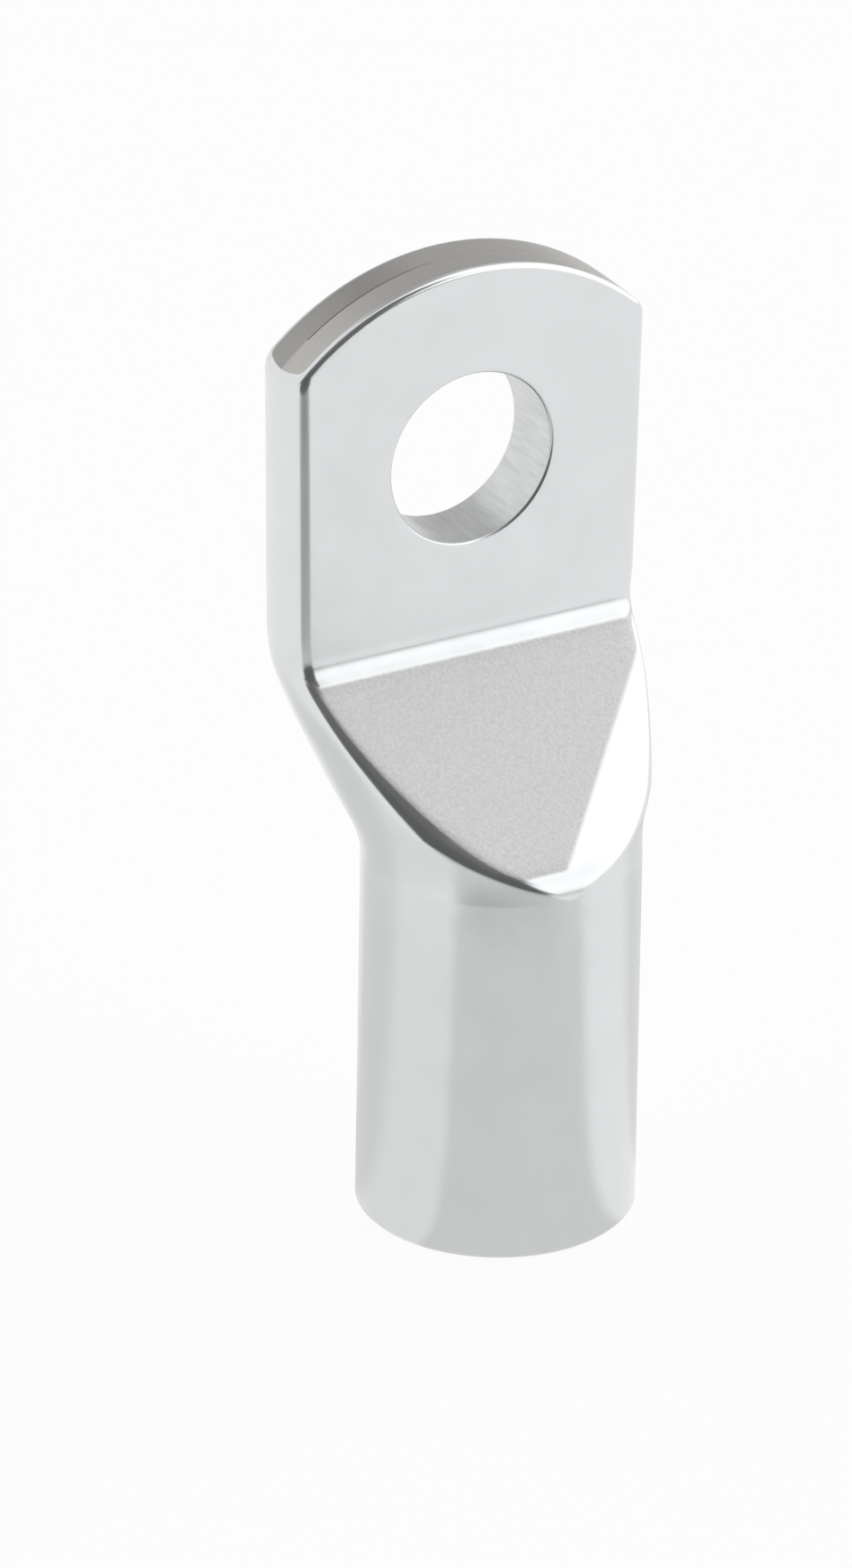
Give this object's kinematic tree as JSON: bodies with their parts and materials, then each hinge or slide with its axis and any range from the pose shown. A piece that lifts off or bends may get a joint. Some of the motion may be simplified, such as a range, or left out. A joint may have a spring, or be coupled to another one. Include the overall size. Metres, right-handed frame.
{
  "type": "cable lug",
  "caption": "Tubular crimp cable lug with a round open barrel, an inclined pressed transition and a flat palm with folded sides, an arc-shaped tip and a stud hole.",
  "frame": {"origin": "centre of the barrel's open mouth, on the barrel's axis", "axes": "+Z along the barrel from its mouth to the palm, -Y is the side of the inclined pressed face, +X to the right when that face is looked at"},
  "size_m": [0.0188, 0.0133, 0.0459],
  "materials": {
    "tinned_copper": "bright tin plating over drawn copper tube, finely grained on the pressed face"
  },
  "bodies": {
    "root": {"lug": "tinned_copper"}
  },
  "joints": []
}
